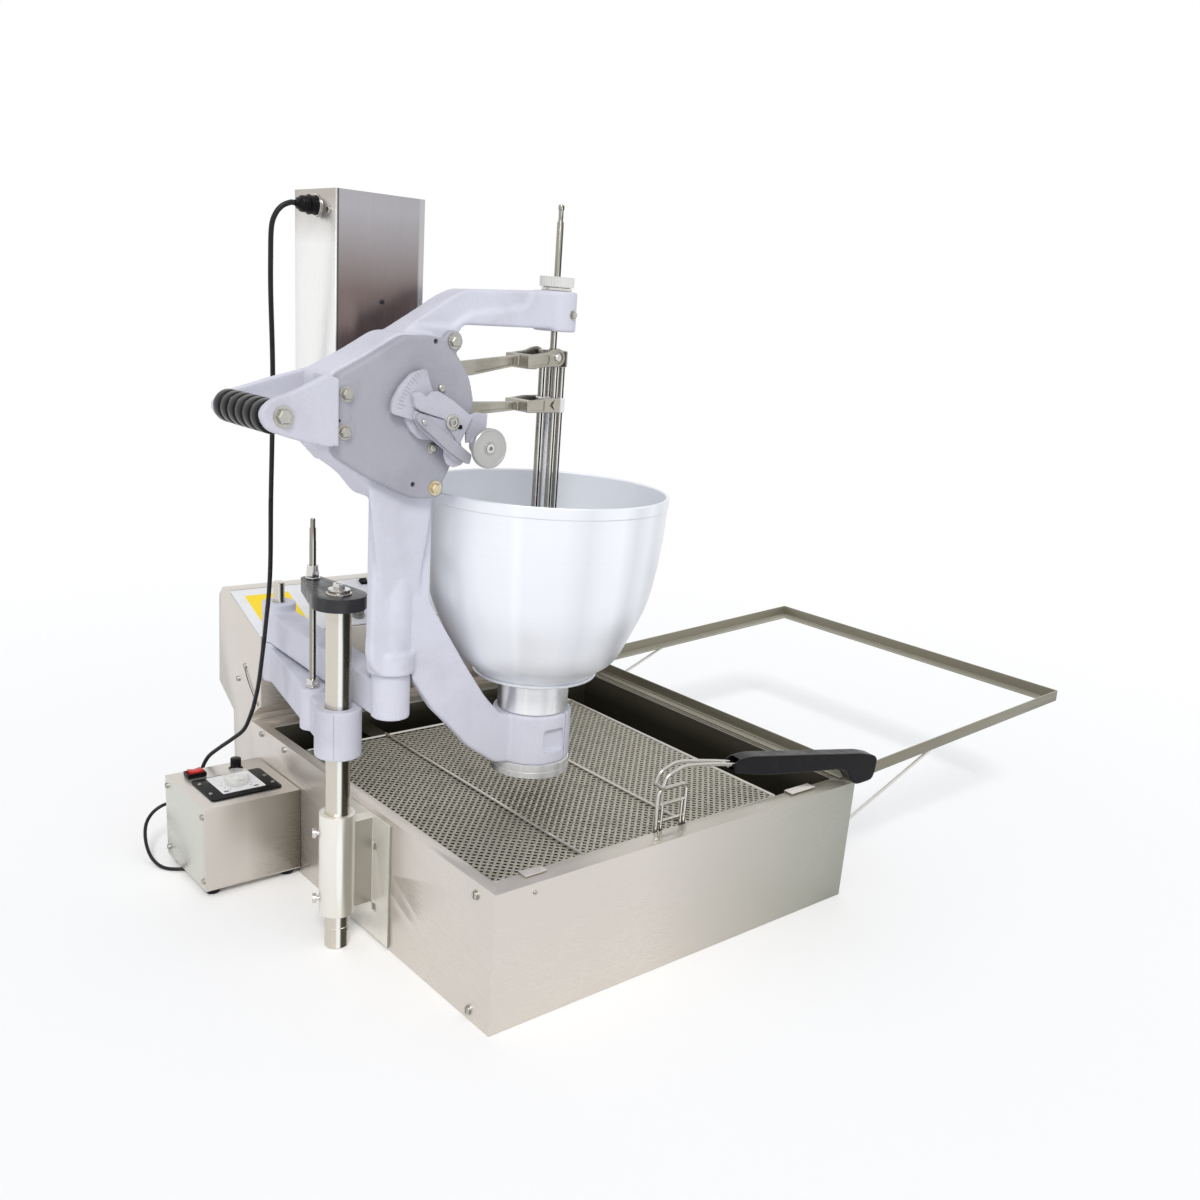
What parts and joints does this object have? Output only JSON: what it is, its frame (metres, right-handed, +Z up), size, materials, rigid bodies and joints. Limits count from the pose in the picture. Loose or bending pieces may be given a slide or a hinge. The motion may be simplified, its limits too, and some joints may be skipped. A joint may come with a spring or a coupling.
{
  "type": "donut maker",
  "caption": "Countertop donut maker: open stainless fryer with lift-out screen and drain frame, and a motor-driven batter depositor on folding arms.",
  "frame": {"origin": "centre of the fryer's flat base, on the surface it stands on", "axes": "+Z up, +X to the drain frame's side, +Y to the control head at the back"},
  "size_m": [1.4479, 0.9732, 0.9648],
  "materials": {
    "casing_steel": "brushed stainless sheet, fine straight grain, soft satin sheen",
    "tank_steel": "darker stainless and steel, dull from heat and oil",
    "bright_steel": "turned or ground bright steel",
    "cast_aluminium": "cast aluminium with a fine matte grain",
    "spun_aluminium": "spun and brightened aluminium, faint turning rings",
    "label_panel": "pale sheet with a plain yellow patch",
    "black_plastic": "moulded black plastic, fine grain",
    "grey_plastic": "moulded grey knob",
    "clear_plastic": "pale clear dial knob",
    "red_plastic": "red rocker",
    "rubber": "black rubber, slightly dusty",
    "cord_jacket": "black flexible cord jacket"
  },
  "bodies": {
    "root": {"fryer_casing": "casing_steel", "oil_tank": "tank_steel", "heating_element": "tank_steel", "head_casing": "casing_steel", "head_panel": "label_panel", "column_bracket": "casing_steel", "column": "bright_steel", "column_cap_bolt": "bright_steel", "control_box_casing": "casing_steel", "control_box_base": "casing_steel", "control_foot_1": "rubber", "control_foot_2": "rubber", "control_foot_3": "rubber", "control_foot_4": "rubber", "speed_panel": "black_plastic", "rocker_base": "black_plastic", "mains_gland": "black_plastic", "motor_cord_lower": "cord_jacket", "mains_cord": "cord_jacket", "mains_cord_coil": "cord_jacket", "mains_plug": "black_plastic"},
    "thermostat": {"thermostat_knob": "grey_plastic"},
    "power_rocker": {"power_switch": "black_plastic"},
    "dial": {"speed_dial": "clear_plastic"},
    "selector": {"panel_knob": "black_plastic"},
    "box_rocker": {"rocker_switch": "red_plastic"},
    "screen": {"fry_screen": "bright_steel"},
    "screen_handle": {"screen_handle_wire": "bright_steel", "screen_handle_grip": "black_plastic"},
    "drain": {"drain_frame": "casing_steel"},
    "strut": {"drain_strut": "bright_steel"},
    "swing_head": {"top_plate": "black_plastic", "height_nut": "bright_steel"},
    "lower_arm": {"lower_link": "cast_aluminium", "height_rod": "bright_steel", "height_lock_nut": "bright_steel", "link_pin": "cast_aluminium", "motor_cord_link": "cord_jacket"},
    "upper_arm": {"upper_link": "cast_aluminium", "hinge_pin": "bright_steel", "motor_cord_arm": "cord_jacket"},
    "depositor": {"depositor_frame": "cast_aluminium", "gear_cover": "cast_aluminium", "front_handle_bracket": "cast_aluminium", "handle_grip": "rubber", "motor_housing": "casing_steel", "motor": "tank_steel", "motor_connector": "black_plastic", "hopper": "spun_aluminium", "cylinder": "bright_steel", "sector_plate": "cast_aluminium", "motor_cord_upper": "cord_jacket"},
    "piston": {"piston_rods": "bright_steel"},
    "cutter": {"cutter_sleeve": "bright_steel"},
    "piston_lever": {"upper_lever": "bright_steel"},
    "cutter_lever": {"lower_lever": "bright_steel"},
    "guide_nut": {"guide_nut": "bright_steel"},
    "crank": {"crank_wheel": "tank_steel"},
    "stroke_lever": {"stroke_lever": "cast_aluminium"},
    "stroke_knob": {"stroke_knob": "bright_steel"}
  },
  "joints": [
    {"name": "arm_swing", "type": "hinge", "parent": "root", "child": "swing_head", "pos_m": [-0.382, -0.044, 0.48], "axis": [0, 0, 1], "range_deg": [-30, 30], "deforming": ["motor_cord_lower"]},
    {"name": "height_adjust", "type": "slide", "parent": "swing_head", "child": "lower_arm", "axis": [0, 0, 1], "range_m": [-0.01, 0.06], "deforming": ["motor_cord_link"]},
    {"name": "upper_arm_swing", "type": "hinge", "parent": "lower_arm", "child": "upper_arm", "pos_m": [-0.3194, 0.2588, 0.36], "axis": [0, 0, 1], "range_deg": [-1, 20], "deforming": ["motor_cord_arm"]},
    {"name": "depositor_swing", "type": "hinge", "parent": "upper_arm", "child": "depositor", "pos_m": [-0.3427, -0.10546, 0.45], "axis": [0, 0, 1], "range_deg": [-45, 16], "deforming": ["motor_cord_upper"]},
    {"name": "piston_slide", "type": "slide", "parent": "depositor", "child": "piston", "axis": [0, 0, 1], "range_m": [-0.03, 0.02]},
    {"name": "cutter_slide", "type": "slide", "parent": "depositor", "child": "cutter", "axis": [0, 0, 1], "range_m": [-0.016, 0.011]},
    {"name": "piston_lever_swing", "type": "hinge", "parent": "depositor", "child": "piston_lever", "pos_m": [-0.3077, -0.10546, 0.761], "axis": [0, -1, 0], "range_deg": [-10, 7]},
    {"name": "cutter_lever_swing", "type": "hinge", "parent": "depositor", "child": "cutter_lever", "pos_m": [-0.2927, -0.10546, 0.72], "axis": [0, -1, 0], "range_deg": [-6, 4]},
    {"name": "guide_nut_turn", "type": "hinge", "parent": "depositor", "child": "guide_nut", "pos_m": [-0.119, -0.10546, 0.87], "axis": [0, 0, 1], "continuous": true},
    {"name": "crank_turn", "type": "hinge", "parent": "depositor", "child": "crank", "pos_m": [-0.3137, -0.10546, 0.713], "axis": [0, 1, 0], "continuous": true},
    {"name": "stroke_lever_swing", "type": "hinge", "parent": "depositor", "child": "stroke_lever", "pos_m": [-0.3137, -0.10546, 0.713], "axis": [0, 1, 0], "range_deg": [-20, 20]},
    {"name": "stroke_knob_turn", "type": "hinge", "parent": "stroke_lever", "child": "stroke_knob", "pos_m": [-0.2757, -0.10546, 0.685], "axis": [0, 1, 0], "range_deg": [-120, 120]},
    {"name": "thermostat_turn", "type": "hinge", "parent": "root", "child": "thermostat", "pos_m": [-0.1572, 0.31725, 0.3458], "axis": [0, -0.3829, 0.9238], "range_deg": [0, 270]},
    {"name": "power_rocker_tilt", "type": "hinge", "parent": "root", "child": "power_rocker", "pos_m": [-0.104, 0.3958, 0.3783], "axis": [1, 0, 0], "range_deg": [-8, 8]},
    {"name": "speed_dial_turn", "type": "hinge", "parent": "root", "child": "dial", "pos_m": [-0.405, 0.2228, 0.14], "axis": [0, 0, -1], "range_deg": [0, 280]},
    {"name": "selector_turn", "type": "hinge", "parent": "root", "child": "selector", "pos_m": [-0.38, 0.2828, 0.14], "axis": [0, 0, -1], "range_deg": [-135, 135]},
    {"name": "box_rocker_tilt", "type": "hinge", "parent": "root", "child": "box_rocker", "pos_m": [-0.442, 0.2848, 0.1442], "axis": [0, 1, 0], "range_deg": [-7, 7]},
    {"name": "screen_lift", "type": "slide", "parent": "root", "child": "screen", "axis": [0, 0, 1], "range_m": [0, 0.03]},
    {"name": "screen_handle_fold", "type": "hinge", "parent": "screen", "child": "screen_handle", "pos_m": [-0.049, -0.298, 0.2529], "axis": [-0.1288, -0.9917, 0], "range_deg": [0, 75]},
    {"name": "drain_lift", "type": "slide", "parent": "root", "child": "drain", "axis": [0, 0, 1], "range_m": [0, 0.1]},
    {"name": "strut_fold", "type": "hinge", "parent": "drain", "child": "strut", "pos_m": [0.534, 0, 0.1993], "axis": [0, -1, 0], "range_deg": [0, 35]}
  ],
  "couplings": [
    {"joint": "cutter_slide", "follows": "piston_slide", "ratio": 0.5},
    {"joint": "piston_lever_swing", "follows": "piston_slide", "rad_per_m": 5.3},
    {"joint": "cutter_lever_swing", "follows": "piston_slide", "rad_per_m": 2.88}
  ]
}
